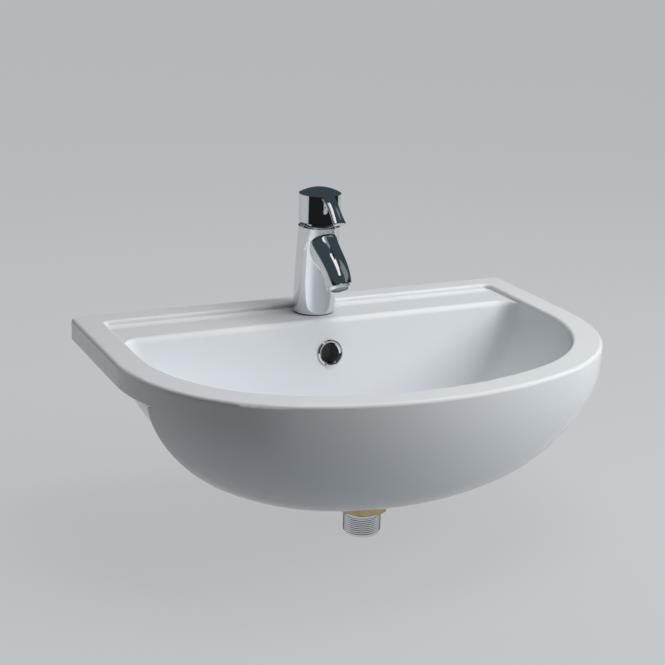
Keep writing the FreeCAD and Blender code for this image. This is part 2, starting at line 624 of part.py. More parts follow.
def tap_body():
    body = cast_body()
    cavity = body_sections(BODY_WALL, -1.0, CAVITY_HEIGHT)
    body = body.cut(cavity)
    body = body.cut(cyl(CART_RADIUS + RUN, CART_BELOW_TOP + 1, 0, HANDLE_Y, SEAT_Z))
    body = body.cut(cyl(NUT_RADIUS + FIT, TOP_Z - SEAT_Z, 0, HANDLE_Y, SEAT_Z + 4))
    recess = Part.makeCone(COVER_RADIUS + 4.2, TOP_RADIUS - TOP_LIP, TOP_RECESS,
                           V(0, HANDLE_Y, TOP_Z - TOP_RECESS))
    body = body.cut(recess)
    # inlet ports, outlet port and the waterway of the spout
    port_top = BASE_Z + CAVITY_HEIGHT + PORT_LENGTH
    for side in (-1, 1):
        body = body.cut(cyl(PORT_RADIUS, PORT_LENGTH + 1, side * PORT_SPACING / 2, TAP_Y + PORT_BACK,
                            port_top - PORT_LENGTH - 1))
        port_end = V(side * PORT_SPACING / 2, TAP_Y + PORT_BACK, port_top - 1)
        body = body.cut(drill(PORT_WAY, port_end, V(side * 5.0, HANDLE_Y + 3.5, SEAT_Z + 1)))
    water_start = V(0, HANDLE_Y - CART_RADIUS - 4, 0)
    start = elbow() - spout_axis() * ((elbow().y - water_start.y) / spout_axis().y)
    body = body.cut(drill(WATERWAY_RADIUS, start, elbow()))
    body = body.cut(drill(2.6, V(0, HANDLE_Y - 6.0, SEAT_Z + 0.5), start + spout_axis() * 5))
    body = body.cut(drill(WATERWAY_RADIUS, elbow(), spout_mouth()))
    body = body.cut(drill(AERATOR_THREAD + FIT, spout_mouth() - mouth_axis() * AERATOR_DEPTH,
                          spout_mouth() + mouth_axis() * 5))
    # blind hole for the fixing stud
    return body.cut(cyl(STUD_RADIUS + FIT, STUD_GRIP + 2, 0, TAP_Y - STUD_OFFSET, BASE_Z + CAVITY_HEIGHT - 1))


# ---------------------------------------------------------------- aerator
def on_mouth(shape):
    """Move a piece drawn upright at the origin to the spout mouth, +Z pointing out."""
    shape.rotate(V(0, 0, 0), V(1, 0, 0), 180 - OUTLET_TILT)
    shape.translate(spout_mouth())
    return shape


def aerator_housing():
    bore = AERATOR_FACE + 0.6
    points = [(bore, -AERATOR_DEPTH + 3), (AERATOR_THREAD, -AERATOR_DEPTH + 3), (AERATOR_THREAD, 0),
              (AERATOR_THREAD + 1.0, 0), (AERATOR_THREAD + 1.0, 1.2), (AERATOR_FACE + 1.6, 3.6),
              (AERATOR_FACE, 3.6), (AERATOR_FACE, 2.0), (bore, 2.0)]
    return on_mouth(revolve(points, 0, 0))


def aerator_insert():
    """Jet disc with a ring of holes and a centre boss."""
    radius = AERATOR_FACE + 0.6 - FIT
    disc = cyl(radius, AERATOR_DEPTH - 4.0, 0, 0, -AERATOR_DEPTH + 5.6)
    for count, ring in ((6, 3.2), (12, 6.6)):
        for k in range(count):
            turn = 2 * math.pi * k / count
            disc = disc.cut(cyl(0.9, 40, ring * math.cos(turn), ring * math.sin(turn), -20))
    return on_mouth(disc)


save("tap_body", tap_body())
save("tap_base_seal", tube(BASE_RADIUS - 1.0, TAP_HOLE / 2 + 0.5, BASE_SEAL, 0, TAP_Y, LEDGE_Z))
save("aerator_housing", aerator_housing())
save("aerator_insert", aerator_insert())
save("aerator_seal", on_mouth(tube(AERATOR_THREAD - 0.3, AERATOR_FACE - 1.6, 3.0, 0, 0,
                                   -AERATOR_DEPTH)))


# ---------------------------------------------------------------- cartridge
SHOULDER_Z = SEAT_Z + CART_BASE_HEIGHT
DISC_Z = SEAT_Z + 3.0
MOVING_Z = DISC_Z + DISC_THICK
DRIVER_Z = MOVING_Z + DISC_THICK
BALL_Z = PIVOT_Z - DRIVE_ARM
SHELF = 1.6              # roof of the disc chamber, under the shoulder
NECK_TOP = SHOULDER_Z + NECK_HEIGHT
DISC_STROKE = DRIVE_ARM * math.radians(LIFT)
DISC_Y = HANDLE_Y + DISC_STROKE / 2


def cartridge_ports():
    """Places of the two inlets and the outlet, from the cartridge axis."""
    return [(-5.0, 3.5), (5.0, 3.5), (0.0, -6.0)]


def cartridge_body():
    roof = SHOULDER_Z - SHELF
    points = [(0, SEAT_Z), (CART_RADIUS, SEAT_Z), (CART_RADIUS, SHOULDER_Z), (NECK_RADIUS, SHOULDER_Z),
              (NECK_RADIUS, NECK_TOP), (CARRIER_RADIUS + RUN, NECK_TOP), (CARRIER_RADIUS + RUN, roof),
              (CHAMBER_RADIUS, roof), (CHAMBER_RADIUS, DISC_Z), (0, DISC_Z)]
    body = revolve(points, 0, HANDLE_Y)
    for x, y in cartridge_ports():
        body = body.cut(cyl(2.2, 10, x, HANDLE_Y + y, SEAT_Z - 4))
        body = body.cut(cyl(3.3, 1.2, x, HANDLE_Y + y, SEAT_Z))
    return body


def cartridge_seals():
    """Three port rings, joined by thin webs as one moulded seal."""
    seal = None
    for x, y in cartridge_ports():
        ring = tube(3.2, 2.2, 1.2, x, HANDLE_Y + y, SEAT_Z)
        seal = ring if seal is None else seal.fuse(ring)
    return seal


def fixed_disc():
    disc = cyl(FIXED_RADIUS, DISC_THICK, 0, HANDLE_Y, DISC_Z)
    for x, y in cartridge_ports():
        disc = disc.cut(cyl(2.0, 3 * DISC_THICK, x, HANDLE_Y + y, DISC_Z - DISC_THICK))
    return disc


def moving_disc():
    """Ceramic disc with a mixing pocket on its underside, drawn with the tap closed."""
    disc = cyl(MOVING_RADIUS, DISC_THICK, 0, DISC_Y, MOVING_Z)
    return disc.cut(cyl(3.6, DISC_THICK / 2, 0, DISC_Y, MOVING_Z))


def disc_driver():
    driver = cyl(DRIVER_RADIUS, DRIVER_HEIGHT, 0, DISC_Y, DRIVER_Z)
    socket = BALL_RADIUS + RUN + 0.15
    return driver.cut(cyl(socket, DRIVER_HEIGHT, 0, HANDLE_Y, DRIVER_Z + 0.2))


def lever_carrier():
    """Turning sleeve in the neck: slotted for the spindle, held under the shelf by a collar."""
    low = SHOULDER_Z - SHELF - RUN
    sleeve = cyl(CARRIER_RADIUS, NECK_TOP + 0.5 - low, 0, HANDLE_Y, low)
    sleeve = sleeve.fuse(cyl(CHAMBER_RADIUS - 0.8, 0.9, 0, HANDLE_Y, low - 0.9))
    half = SPINDLE_BLADE / 2 + RUN
    slot = CARRIER_RADIUS - 1.1
    sleeve = sleeve.cut(block(-half, half, HANDLE_Y - slot, HANDLE_Y + slot, low - 5, NECK_TOP + 5))
    pin = cyl(PIN_RADIUS + FIT, 4 * CARRIER_RADIUS, -2 * CARRIER_RADIUS, HANDLE_Y, PIVOT_Z, V(1, 0, 0))
    return sleeve.cut(pin)


def pivot_pin():
    half = CARRIER_RADIUS - 0.3
    return cyl(PIN_RADIUS, 2 * half, -half, HANDLE_Y, PIVOT_Z, V(1, 0, 0))


SQUARE_Z = PIVOT_Z + 6.3
SPINDLE_TOP = PIVOT_Z + SPINDLE_RISE
ARM_RADIUS = 1.2


def lever_spindle():
    """Square head, flat blade through the slot and a thin arm with a ball for the disc."""
    side = SPINDLE_SIDE / 2
    head = block(-side, side, HANDLE_Y - side, HANDLE_Y + side, SQUARE_Z, SPINDLE_TOP)
    half = SPINDLE_BLADE / 2
    blade = block(-half, half, HANDLE_Y - side, HANDLE_Y + side, PIVOT_Z - 3.5, SQUARE_Z)
    neck = Part.makeCone(ARM_RADIUS, half, 3.5, V(0, HANDLE_Y, PIVOT_Z - 7.0))
    arm = cyl(ARM_RADIUS, PIVOT_Z - 6.5 - BALL_Z, 0, HANDLE_Y, BALL_Z)
    ball = Part.makeSphere(BALL_RADIUS, V(0, HANDLE_Y, BALL_Z))
    spindle = head.fuse(blade).fuse(neck).fuse(arm).fuse(ball)
    bore = cyl(PIN_RADIUS + RUN, 4 * side, -2 * side, HANDLE_Y, PIVOT_Z, V(1, 0, 0))
    return spindle.cut(bore)


def cartridge_nut():
    """Ring nut in the body, with a hexagon on top and a lip over the cartridge shoulder."""
    nut = cyl(NUT_RADIUS, TOP_Z - 2 - SEAT_Z - 4, 0, HANDLE_Y, SEAT_Z + 4)
    nut = nut.fuse(hexagon(NUT_FLATS, 5.0, 0, HANDLE_Y, TOP_Z - 2))
    nut = nut.cut(cyl(CART_RADIUS + FIT, SHOULDER_Z - SEAT_Z, 0, HANDLE_Y, SEAT_Z))
    return nut.cut(cyl(NECK_RADIUS + FIT, 20, 0, HANDLE_Y, SHOULDER_Z - 5))


def cover_ring():
    """Thin domed cap over the nut, seen as the dark gap under the handle."""
    floor = TOP_Z - TOP_RECESS
    edge = TOP_Z + 4.6
    crown = TOP_Z + 7.2
    hole = NECK_RADIUS + RUN
    points = [(COVER_RADIUS, floor), (COVER_RADIUS, edge), (hole, crown + COVER_WALL),
              (hole, crown), (COVER_RADIUS - COVER_WALL, edge - 0.4),
              (COVER_RADIUS - COVER_WALL, floor)]
    return revolve(points, 0, HANDLE_Y)


save("cartridge_body", cartridge_body())
save("cartridge_seals", cartridge_seals())
save("fixed_disc", fixed_disc())
save("moving_disc", moving_disc())
save("disc_driver", disc_driver())
save("lever_carrier", lever_carrier())
save("pivot_pin", pivot_pin())
save("lever_spindle", lever_spindle())
save("cartridge_nut", cartridge_nut())
save("cover_ring", cover_ring())


# ---------------------------------------------------------------- handle
def lever_section(centre, across, width, thick):
    """Closed section of the lever: crowned top, flat underside and round edges."""
    half = width / 2 - thick / 2
    rise = thick / 2
    place = [V(-half, 0, 0) + across * rise, across * (rise + LEVER_CROWN),
             V(half, 0, 0) + across * rise, V(width / 2, 0, 0), V(half, 0, 0) - across * rise,
             V(-half, 0, 0) - across * rise, V(-width / 2, 0, 0)]
    left_top, top, right_top, right, right_low, left_low, left = [centre + point for point in place]
    edges = [Part.Arc(left_top, top, right_top).toShape(), Part.Arc(right_top, right, right_low).toShape(),
             Part.makeLine(right_low, left_low), Part.Arc(left_low, left, left_top).toShape()]
    return Part.Wire(edges)


def lever_blade():
    """Crowned lever that leaves the dome in its own slope, falls forward and flattens at the tip."""
    top = DOME_Z + DOME_HEIGHT
    path = [V(0, HANDLE_Y - LEVER_REACH * reach, top - LEVER_FALL * fall)
            for reach, fall, width in LEVER_PATH]
    wires = []
    for k, (reach, fall, width) in enumerate(LEVER_PATH):
        along = path[min(k + 1, len(path) - 1)] - path[max(k - 1, 0)]
        along.normalize()
        across = V(0, along.z, -along.y)
        thick = LEVER_THICK + (LEVER_TIP_THICK - LEVER_THICK) * reach
        centre = path[k] - across * (thick / 2 + LEVER_CROWN)
        wires.append(lever_section(centre, across, LEVER_TIP * width, thick))
    blade = Part.makeLoft(wires, True, False)
    tip_y = HANDLE_Y - LEVER_REACH - FIT
    half = LEVER_TIP / 2 + FIT
    edges = [
        arc((half - LEVER_CORNER, tip_y + LEVER_CORNER), LEVER_CORNER, 0, -90, HANDLE_Z),
        Part.makeLine(V(half - LEVER_CORNER, tip_y, HANDLE_Z), V(-half + LEVER_CORNER, tip_y, HANDLE_Z)),
        arc((-half + LEVER_CORNER, tip_y + LEVER_CORNER), LEVER_CORNER, -90, -180, HANDLE_Z),
        Part.makeLine(V(-half, tip_y + LEVER_CORNER, HANDLE_Z), V(-2 * half, HANDLE_Y, HANDLE_Z)),
        Part.makeLine(V(-2 * half, HANDLE_Y, HANDLE_Z), V(2 * half, HANDLE_Y, HANDLE_Z)),
        Part.makeLine(V(2 * half, HANDLE_Y, HANDLE_Z), V(half, tip_y + LEVER_CORNER, HANDLE_Z)),
    ]
    plan = Part.Face(Part.Wire(edges)).extrude(V(0, 0, 3 * HANDLE_HEIGHT))
    return blade.common(plan)


def handle():
    """Cap with a domed top, a skirt over the cartridge and the lever."""
    dome_radius = (HANDLE_RADIUS ** 2 + DOME_HEIGHT ** 2) / (2 * DOME_HEIGHT)
    cap = cyl(HANDLE_RADIUS, HANDLE_HEIGHT + DOME_HEIGHT, 0, HANDLE_Y, HANDLE_Z)
    ball = Part.makeSphere(dome_radius, V(0, HANDLE_Y, DOME_Z + DOME_HEIGHT - dome_radius))
    cap = cap.common(ball.fuse(cyl(2 * HANDLE_RADIUS, HANDLE_HEIGHT, 0, HANDLE_Y, HANDLE_Z)))
    inner = HANDLE_RADIUS - HANDLE_WALL
    cap = cap.fuse(lever_blade())
    skirt = cyl(inner, SKIRT_DEPTH + 1, 0, HANDLE_Y, HANDLE_Z - 1)
    boss = cyl(SPINDLE_SIDE, SKIRT_DEPTH, 0, HANDLE_Y, PIVOT_Z + 8)
    cap = cap.cut(skirt.cut(boss))
    side = SPINDLE_SIDE / 2 + FIT
    socket = block(-side, side, HANDLE_Y - side, HANDLE_Y + side, PIVOT_Z, SPINDLE_TOP + 0.3)
    cap = cap.cut(socket)
    bevel = Part.makeCone(HANDLE_RADIUS - 0.8, HANDLE_RADIUS + 0.2, 1.0, V(0, HANDLE_Y, HANDLE_Z))
    shave = cyl(HANDLE_RADIUS + 1, 1.0, 0, HANDLE_Y, HANDLE_Z).cut(bevel)
    cap = cap.cut(shave)
    return cap.cut(cyl(GRUB_RADIUS + FIT, 2 * HANDLE_RADIUS, 0, HANDLE_Y, GRUB_Z, V(0, 1, 0)))


GRUB_Z = PIVOT_Z + 17.0


def grub_screw():
    start = HANDLE_Y + SPINDLE_SIDE / 2
    screw = cyl(GRUB_RADIUS, GRUB_LENGTH, 0, start, GRUB_Z, V(0, 1, 0))
    key = hexagon(2.0, 3.0, 0, 0, 0)
    key.rotate(V(0, 0, 0), V(1, 0, 0), 90)
    key.translate(V(0, start + GRUB_LENGTH + 0.5, GRUB_Z))
    return screw.cut(key)


save("handle", handle())
save("grub_screw", grub_screw())


# ---------------------------------------------------------------- fixing under the ledge
def horseshoe(thick, z):
    """Plate open at the back for the two hoses, with a hole for the stud in its solid side."""
    plate = cyl(HORSESHOE_OUTER, thick, 0, TAP_Y, z)
    side = PORT_SPACING / 2
    hose_y = TAP_Y + PORT_BACK
    mouth = block(-side - HOSE_ROOM, side + HOSE_ROOM, hose_y, TAP_Y + 2 * HORSESHOE_OUTER, z, z + thick)
    mouth = mouth.fuse(block(-side, side, hose_y - HOSE_ROOM, hose_y, z, z + thick))
    for turn in (-1, 1):
        mouth = mouth.fuse(cyl(HOSE_ROOM, thick, turn * side, hose_y, z))
    stud = cyl(STUD_RADIUS + FIT, thick, 0, TAP_Y - STUD_OFFSET, z)
    return plate.cut(mouth).cut(stud)


PLATE_Z = LEDGE_UNDER - FIX_GASKET - FIX_PLATE
STUD_TOP = BASE_Z + CAVITY_HEIGHT + STUD_GRIP


def fixing_nut():
    nut = hexagon(FIX_NUT_FLATS, FIX_NUT_HEIGHT, 0, TAP_Y - STUD_OFFSET, PLATE_Z - FIX_NUT_HEIGHT)
    return nut.cut(cyl(STUD_RADIUS + FIT, 2 * FIX_NUT_HEIGHT, 0, TAP_Y - STUD_OFFSET,
                       PLATE_Z - 1.5 * FIX_NUT_HEIGHT))


save("fixing_stud", cyl(STUD_RADIUS, STUD_LENGTH, 0, TAP_Y - STUD_OFFSET, STUD_TOP - STUD_LENGTH))
save("fixing_gasket", horseshoe(FIX_GASKET, LEDGE_UNDER - FIX_GASKET))
save("fixing_plate", horseshoe(FIX_PLATE, PLATE_Z))
save("fixing_nut", fixing_nut())
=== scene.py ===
import math

import bmesh
import bpy
from mathutils import Matrix, Vector


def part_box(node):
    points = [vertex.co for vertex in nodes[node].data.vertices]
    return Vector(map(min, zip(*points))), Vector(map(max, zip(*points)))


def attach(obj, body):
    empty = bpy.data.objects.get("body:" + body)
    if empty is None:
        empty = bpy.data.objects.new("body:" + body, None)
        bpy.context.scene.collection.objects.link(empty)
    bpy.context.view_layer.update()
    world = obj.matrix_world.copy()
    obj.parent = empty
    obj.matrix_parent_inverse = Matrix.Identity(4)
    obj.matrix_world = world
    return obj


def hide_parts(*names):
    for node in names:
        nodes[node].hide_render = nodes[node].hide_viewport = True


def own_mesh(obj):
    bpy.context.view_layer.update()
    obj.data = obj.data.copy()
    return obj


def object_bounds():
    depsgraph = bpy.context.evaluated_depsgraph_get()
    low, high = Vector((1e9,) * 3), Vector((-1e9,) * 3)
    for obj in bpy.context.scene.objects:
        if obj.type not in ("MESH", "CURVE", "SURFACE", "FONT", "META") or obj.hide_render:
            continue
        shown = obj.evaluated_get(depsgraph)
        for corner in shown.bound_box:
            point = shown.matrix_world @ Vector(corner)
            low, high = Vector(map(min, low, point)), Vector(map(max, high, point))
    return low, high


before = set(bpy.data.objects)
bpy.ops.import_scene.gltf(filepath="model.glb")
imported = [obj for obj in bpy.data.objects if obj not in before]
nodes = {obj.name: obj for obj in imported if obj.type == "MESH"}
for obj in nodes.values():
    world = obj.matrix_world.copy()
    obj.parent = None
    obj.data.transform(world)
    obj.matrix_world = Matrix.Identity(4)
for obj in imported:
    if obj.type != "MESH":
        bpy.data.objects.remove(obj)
cad_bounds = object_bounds()
scene = bpy.context.scene
scene.view_settings.view_transform = "Standard"


# ---- View ----
# The basin is seen from in front, a little to the left and from above the rim.  The place of
# the eye was worked out from the rim, the mixer base and the overflow.
SENSOR_WIDTH = 36.0
FOCAL_LENGTH_IN_PIXELS = 1488.34
PICTURE_WIDTH = 665
EYE = (-0.68751, -1.53665, 0.50544)
azimuth, elevation, roll = (math.radians(a) for a in (-25.3706, 17.1744, 1.8043))
view = bpy.data.cameras.new("view")
view.sensor_width = SENSOR_WIDTH
view.lens = FOCAL_LENGTH_IN_PIXELS / PICTURE_WIDTH * SENSOR_WIDTH
view.clip_start = 0.05
camera = bpy.data.objects.new("view", view)
scene.collection.objects.link(camera)
back = Vector((math.sin(azimuth) * math.cos(elevation), -math.cos(azimuth) * math.cos(elevation),
               math.sin(elevation)))
right = (-back).cross(Vector((0, 0, 1))).normalized()
up = right.cross(-back)
turned_right = math.cos(roll) * right + math.sin(roll) * up
turned_up = -math.sin(roll) * right + math.cos(roll) * up
camera.matrix_world = (Matrix.Translation(EYE)
                       @ Matrix((turned_right, turned_up, back)).transposed().to_4x4())
scene.camera = camera


# ---- Studio light ----
# Soft boxes overhead light the rim and the inside of the bowl.  The main light comes from the
# right and in front, and leaves the left of the hull in soft shade.  No reflection shows them.
LIT_POINT = Vector((0, -0.15, 0))
SOFT_BOXES = (
    ("over", (0.30, -0.35, 1.75), (1.0, 0.8), 12),
    ("over_right", (0.95, -0.25, 1.45), (0.9, 0.9), 7),
    ("over_back", (0.20, 0.60, 1.60), (1.2, 0.8), 3),
    ("side", (1.25, -1.15, 0.95), (0.9, 0.9), 18),
    ("low", (1.45, -0.95, 0.40), (0.9, 0.9), 6),
    ("left", (-1.50, 0.75, 0.35), (0.9, 0.9), 4.5),
)
DIM_SKY, DIM_STRENGTH = (0.93, 0.97, 1.0, 1), 0.03
PALE_BACKGROUND, PALE_STRENGTH = (0.45, 0.47, 0.49, 1), 1.0

for name, place, size, watts in SOFT_BOXES:
    light = bpy.data.lights.new(name, "AREA")
    light.shape = "RECTANGLE"
    light.size, light.size_y = size
    light.energy = watts
    lamp = bpy.data.objects.new(name, light)
    scene.collection.objects.link(lamp)
    lamp.location = place
    lamp.rotation_euler = (LIT_POINT - Vector(place)).to_track_quat("-Z", "Y").to_euler()
    lamp.visible_glossy = False


def seen_share(tree):
    """1 where the eye sees a thing, also by reflection or through glass, and 0 for its light."""
    path = tree.nodes.new("ShaderNodeLightPath")
    seen = path.outputs["Is Camera Ray"]
    for ray in ("Is Glossy Ray", "Is Transmission Ray"):
        either = tree.nodes.new("ShaderNodeMath")
        either.operation = "MAXIMUM"
        tree.links.new(seen, either.inputs[0])
        tree.links.new(path.outputs[ray], either.inputs[1])
        seen = either.outputs[0]
    return seen


world = bpy.data.worlds.new("studio")
scene.world = world
world.use_nodes = True
tree = world.node_tree
tree.nodes.clear()
two_skies = tree.nodes.new("ShaderNodeMixShader")
tree.links.new(seen_share(tree), two_skies.inputs[0])
for socket, colour, strength in ((two_skies.inputs[1], DIM_SKY, DIM_STRENGTH),
                                 (two_skies.inputs[2], PALE_BACKGROUND, PALE_STRENGTH)):
    sky = tree.nodes.new("ShaderNodeBackground")
    sky.inputs["Color"].default_value = colour
    sky.inputs["Strength"].default_value = strength
    tree.links.new(sky.outputs[0], socket)
out = tree.nodes.new("ShaderNodeOutputWorld")
tree.links.new(two_skies.outputs[0], out.inputs["Surface"])


# ---- Floor ----
# A plain floor just under the waste tail.  It shows pale, and gives back little light to the
# underside of the bowl.
FLOOR_LEVEL = cad_bounds[0][2]
FLOOR_REACH = 25.0
FLOOR_PAINT = (0.40, 0.42, 0.44, 1)
FLOOR_GLOW = (0.60, 0.625, 0.65, 1)
GLOW_SHARE = 0.75


def stage_piece(name, shape, finish):
    """Sets up a piece of the stage, which isn't part of the basin."""
    mesh = bpy.data.meshes.new(name)
    shape.to_mesh(mesh)
    shape.free()
    mesh.materials.append(finish)
    piece = bpy.data.objects.new(name, mesh)
    scene.collection.objects.link(piece)
    return piece


pale_floor = bpy.data.materials.new("pale_floor")
pale_floor.use_nodes = True
tree = pale_floor.node_tree
paint = tree.nodes["Principled BSDF"]
paint.inputs["Base Color"].default_value = FLOOR_PAINT
paint.inputs["Roughness"].default_value = 0.8
paint.inputs["Specular IOR Level"].default_value = 0.2
glow = tree.nodes.new("ShaderNodeEmission")
glow.inputs["Color"].default_value = FLOOR_GLOW
share = tree.nodes.new("ShaderNodeMath")
share.operation = "MULTIPLY"
share.inputs[1].default_value = GLOW_SHARE
tree.links.new(seen_share(tree), share.inputs[0])
blend = tree.nodes.new("ShaderNodeMixShader")
tree.links.new(share.outputs[0], blend.inputs[0])
tree.links.new(paint.outputs[0], blend.inputs[1])
tree.links.new(glow.outputs[0], blend.inputs[2])
tree.links.new(blend.outputs[0], tree.nodes["Material Output"].inputs["Surface"])
floor = bmesh.new()
bmesh.ops.create_grid(floor, x_segments=1, y_segments=1, size=FLOOR_REACH,
                      matrix=Matrix.Translation((0, 0, FLOOR_LEVEL)))
stage_piece("floor", floor, pale_floor)


# ---- Boards for reflections ----
# Boards of plain cloth, only for the chrome to reflect: a slate ring and lid round the set,
# open low at the left for a pale band, a grey one at the right, a black one close in front and
# low, and a white card overhead.
RING_RADIUS = 2.8
RING_TOP = 2.6
CARD_PLACE = (-0.15, -0.92, 1.75)
CARD_SIZE = (0.70, 1.95)
BOARD_STEPS = 16


def plain_cloth(name, colour):
    """Cloth that shows one colour from everywhere, whatever light falls on it."""
    made = bpy.data.materials.new(name)
    made.use_nodes = True
    tree = made.node_tree
    tree.nodes.remove(tree.nodes["Principled BSDF"])
    dye = tree.nodes.new("ShaderNodeEmission")
    dye.inputs["Color"].default_value = (*colour, 1)
    tree.links.new(dye.outputs[0], tree.nodes["Material Output"].inputs["Surface"])
    return made


def hang_board(name, board, cloth):
    """Hangs a board that only reflections see."""
    hung = stage_piece(name, board, cloth)
    hung.visible_camera = False
    hung.visible_diffuse = False
    hung.visible_shadow = False
    hung.visible_transmission = False


def bent_board(name, cloth, radius, low, high, start, end):
    """An upright board bent round the set between two angles, of which 0 is in front."""
    board = bmesh.new()
    post = [board.verts.new((0, -radius, height)) for height in (low, high)]
    bmesh.ops.rotate(board, cent=(0, 0, 0), matrix=Matrix.Rotation(math.radians(start), 3, "Z"),
                     verts=post)
    bmesh.ops.spin(board, geom=post + [board.edges.new(post)], cent=(0, 0, 0), axis=(0, 0, 1),
                   angle=math.radians(end - start), steps=BOARD_STEPS)
    hang_board(name, board, cloth)


slate_cloth = plain_cloth("slate_cloth", (0.045, 0.062, 0.075))
grey_cloth = plain_cloth("grey_cloth", (0.22, 0.25, 0.27))
black_cloth = plain_cloth("black_cloth", (0.012, 0.013, 0.014))
white_card = plain_cloth("white_card", (1.0, 1.0, 1.0))
bent_board("far_boards", slate_cloth, RING_RADIUS, FLOOR_LEVEL, RING_TOP, -84, 214)
bent_board("left_boards", slate_cloth, RING_RADIUS - 0.05, 0.32, RING_TOP, 214, 276)
bent_board("grey_boards", grey_cloth, 1.3, 0.25, 2.3, 38, 88)
bent_board("near_boards", black_cloth, 0.95, FLOOR_LEVEL + 0.02, 0.30, -84, 88)
lid = bmesh.new()
bmesh.ops.create_circle(lid, cap_ends=True, radius=RING_RADIUS, segments=32,
                        matrix=Matrix.Translation((0, 0, RING_TOP)))
hang_board("lid_board", lid, slate_cloth)
card = bmesh.new()
bmesh.ops.create_grid(card, x_segments=1, y_segments=1, size=0.5,
                      matrix=Matrix.Translation(CARD_PLACE) @ Matrix.Diagonal((*CARD_SIZE, 1, 1)))
hang_board("top_card", card, white_card)


# ---- China basin ----
# Vitreous china, slip cast and fired once with a thick white glaze.  The glaze is a little
# wavy; the seat under the rim is ground flat and left raw, and the overflow's throat is bare
# china painted darker still with painted shade inside the channel.
GLAZE_TONES = ((0.785, 0.815, 0.840), (0.750, 0.785, 0.815))
RAW_CHINA = (0.62, 0.59, 0.54)
RAW_ROUGHNESS = 0.85
# Bare china of the overflow's throat, painted darker as shade inside the channel.
BARE_AND_SHADED_THROAT = (0.30, 0.26, 0.22)
SEAT_LEVEL = (-0.0004, 0.0003)
SEAT_BACK_STRIP = (-0.060, 0.012)
SEAT_SIDE_STRIP = 0.2475
SEAT_LENGTH = (-0.2215, 0.012)
WALL_TOP_Y, WALL_TOP_Z = -0.0726, 0.021
WALL_LEAN = 0.2586
THROAT_DEPTH = (0.003, 0.024)
THROAT_WIDTH = (-0.0174, 0.0174)
THROAT_HEIGHT = (-0.11, 0.004)
HULL_BACK = -0.2245
ON_THE_LINE = 1e-5
UPRIGHT = 0.01
MOST_LEAN = 0.30
SAME_SIDE = 0.9
SAME_POINT = 1e-6


def near_tones(tree, tones, scale, detail):
    """Two close tones in soft clouds; gives the place on the piece, the cloud and the tone."""
    place = tree.nodes.new("ShaderNodeTexCoord")
    cloud = tree.nodes.new("ShaderNodeTexNoise")
    cloud.inputs["Scale"].default_value = scale
    cloud.inputs["Detail"].default_value = detail
    tree.links.new(place.outputs["Object"], cloud.inputs["Vector"])
    tone = tree.nodes.new("ShaderNodeMix")
    tone.data_type = "RGBA"
    tone.inputs["A"].default_value = (*tones[0], 1)
    tone.inputs["B"].default_value = (*tones[1], 1)
    tree.links.new(cloud.outputs["Fac"], tone.inputs["Factor"])
    return place.outputs["Object"], cloud.outputs["Fac"], tone.outputs["Result"]


def spread(tree, cloud, low, high):
    """A value that follows the clouds from low, in their dark, to high, in their light."""
    follow = tree.nodes.new("ShaderNodeMapRange")
    follow.inputs["From Min"].default_value = 0.3
    follow.inputs["From Max"].default_value = 0.7
    follow.inputs["To Min"].default_value = low
    follow.inputs["To Max"].default_value = high
    tree.links.new(cloud, follow.inputs["Value"])
    return follow.outputs["Result"]


def relief(tree, place, scale, height, strength, detail):
    """A fine grain or wave of the surface."""
    grain = tree.nodes.new("ShaderNodeTexNoise")
    grain.inputs["Scale"].default_value = scale
    grain.inputs["Detail"].default_value = detail
    tree.links.new(place, grain.inputs["Vector"])
    bump = tree.nodes.new("ShaderNodeBump")
    bump.inputs["Strength"].default_value = strength
    bump.inputs["Distance"].default_value = height
    tree.links.new(grain.outputs["Fac"], bump.inputs["Height"])
    return bump.outputs["Normal"]


def combine(tree, operation, first, second):
    """One sum or comparison of two values, each a number or a socket."""
    made = tree.nodes.new("ShaderNodeMath")
    made.operation = operation
    for socket, value in zip(made.inputs, (first, second)):
        if isinstance(value, float):
            socket.default_value = value
        else:
            tree.links.new(value, socket)
    return made.outputs[0]


def within(tree, value, limits):
    """1 where the value lies between the limits, else 0."""
    return combine(tree, "MULTIPLY", combine(tree, "GREATER_THAN", value, limits[0]),
                   combine(tree, "LESS_THAN", value, limits[1]))


def placed(name, mesh, finish, body):
    """Puts a made piece in the scene with its finish, and lets it ride on a body."""
    mesh.materials.append(finish)
    piece = bpy.data.objects.new(name, mesh)
    scene.collection.objects.link(piece)
    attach(piece, body)
    return piece


white_glaze = bpy.data.materials.new("white_glaze")
white_glaze.use_nodes = True
tree = white_glaze.node_tree
glaze = tree.nodes["Principled BSDF"]
place, cloud, tone = near_tones(tree, GLAZE_TONES, 7, 3)
split = tree.nodes.new("ShaderNodeSeparateXYZ")
tree.links.new(place, split.inputs[0])
x, y, z = split.outputs
seat = combine(tree, "MAXIMUM", within(tree, y, SEAT_BACK_STRIP),
               combine(tree, "GREATER_THAN", combine(tree, "ABSOLUTE", x, 0.0), SEAT_SIDE_STRIP))
seat = combine(tree, "MULTIPLY", seat, within(tree, y, SEAT_LENGTH))
seat = combine(tree, "MULTIPLY", seat, within(tree, z, SEAT_LEVEL))
wall_drop = combine(tree, "SUBTRACT", WALL_TOP_Z, z)
behind_wall = combine(tree, "ADD", combine(tree, "SUBTRACT", y, WALL_TOP_Y),
                      combine(tree, "MULTIPLY", wall_drop, WALL_LEAN))
throat = combine(tree, "MULTIPLY", within(tree, behind_wall, THROAT_DEPTH),
                 within(tree, x, THROAT_WIDTH))
throat = combine(tree, "MULTIPLY", throat, within(tree, z, THROAT_HEIGHT))
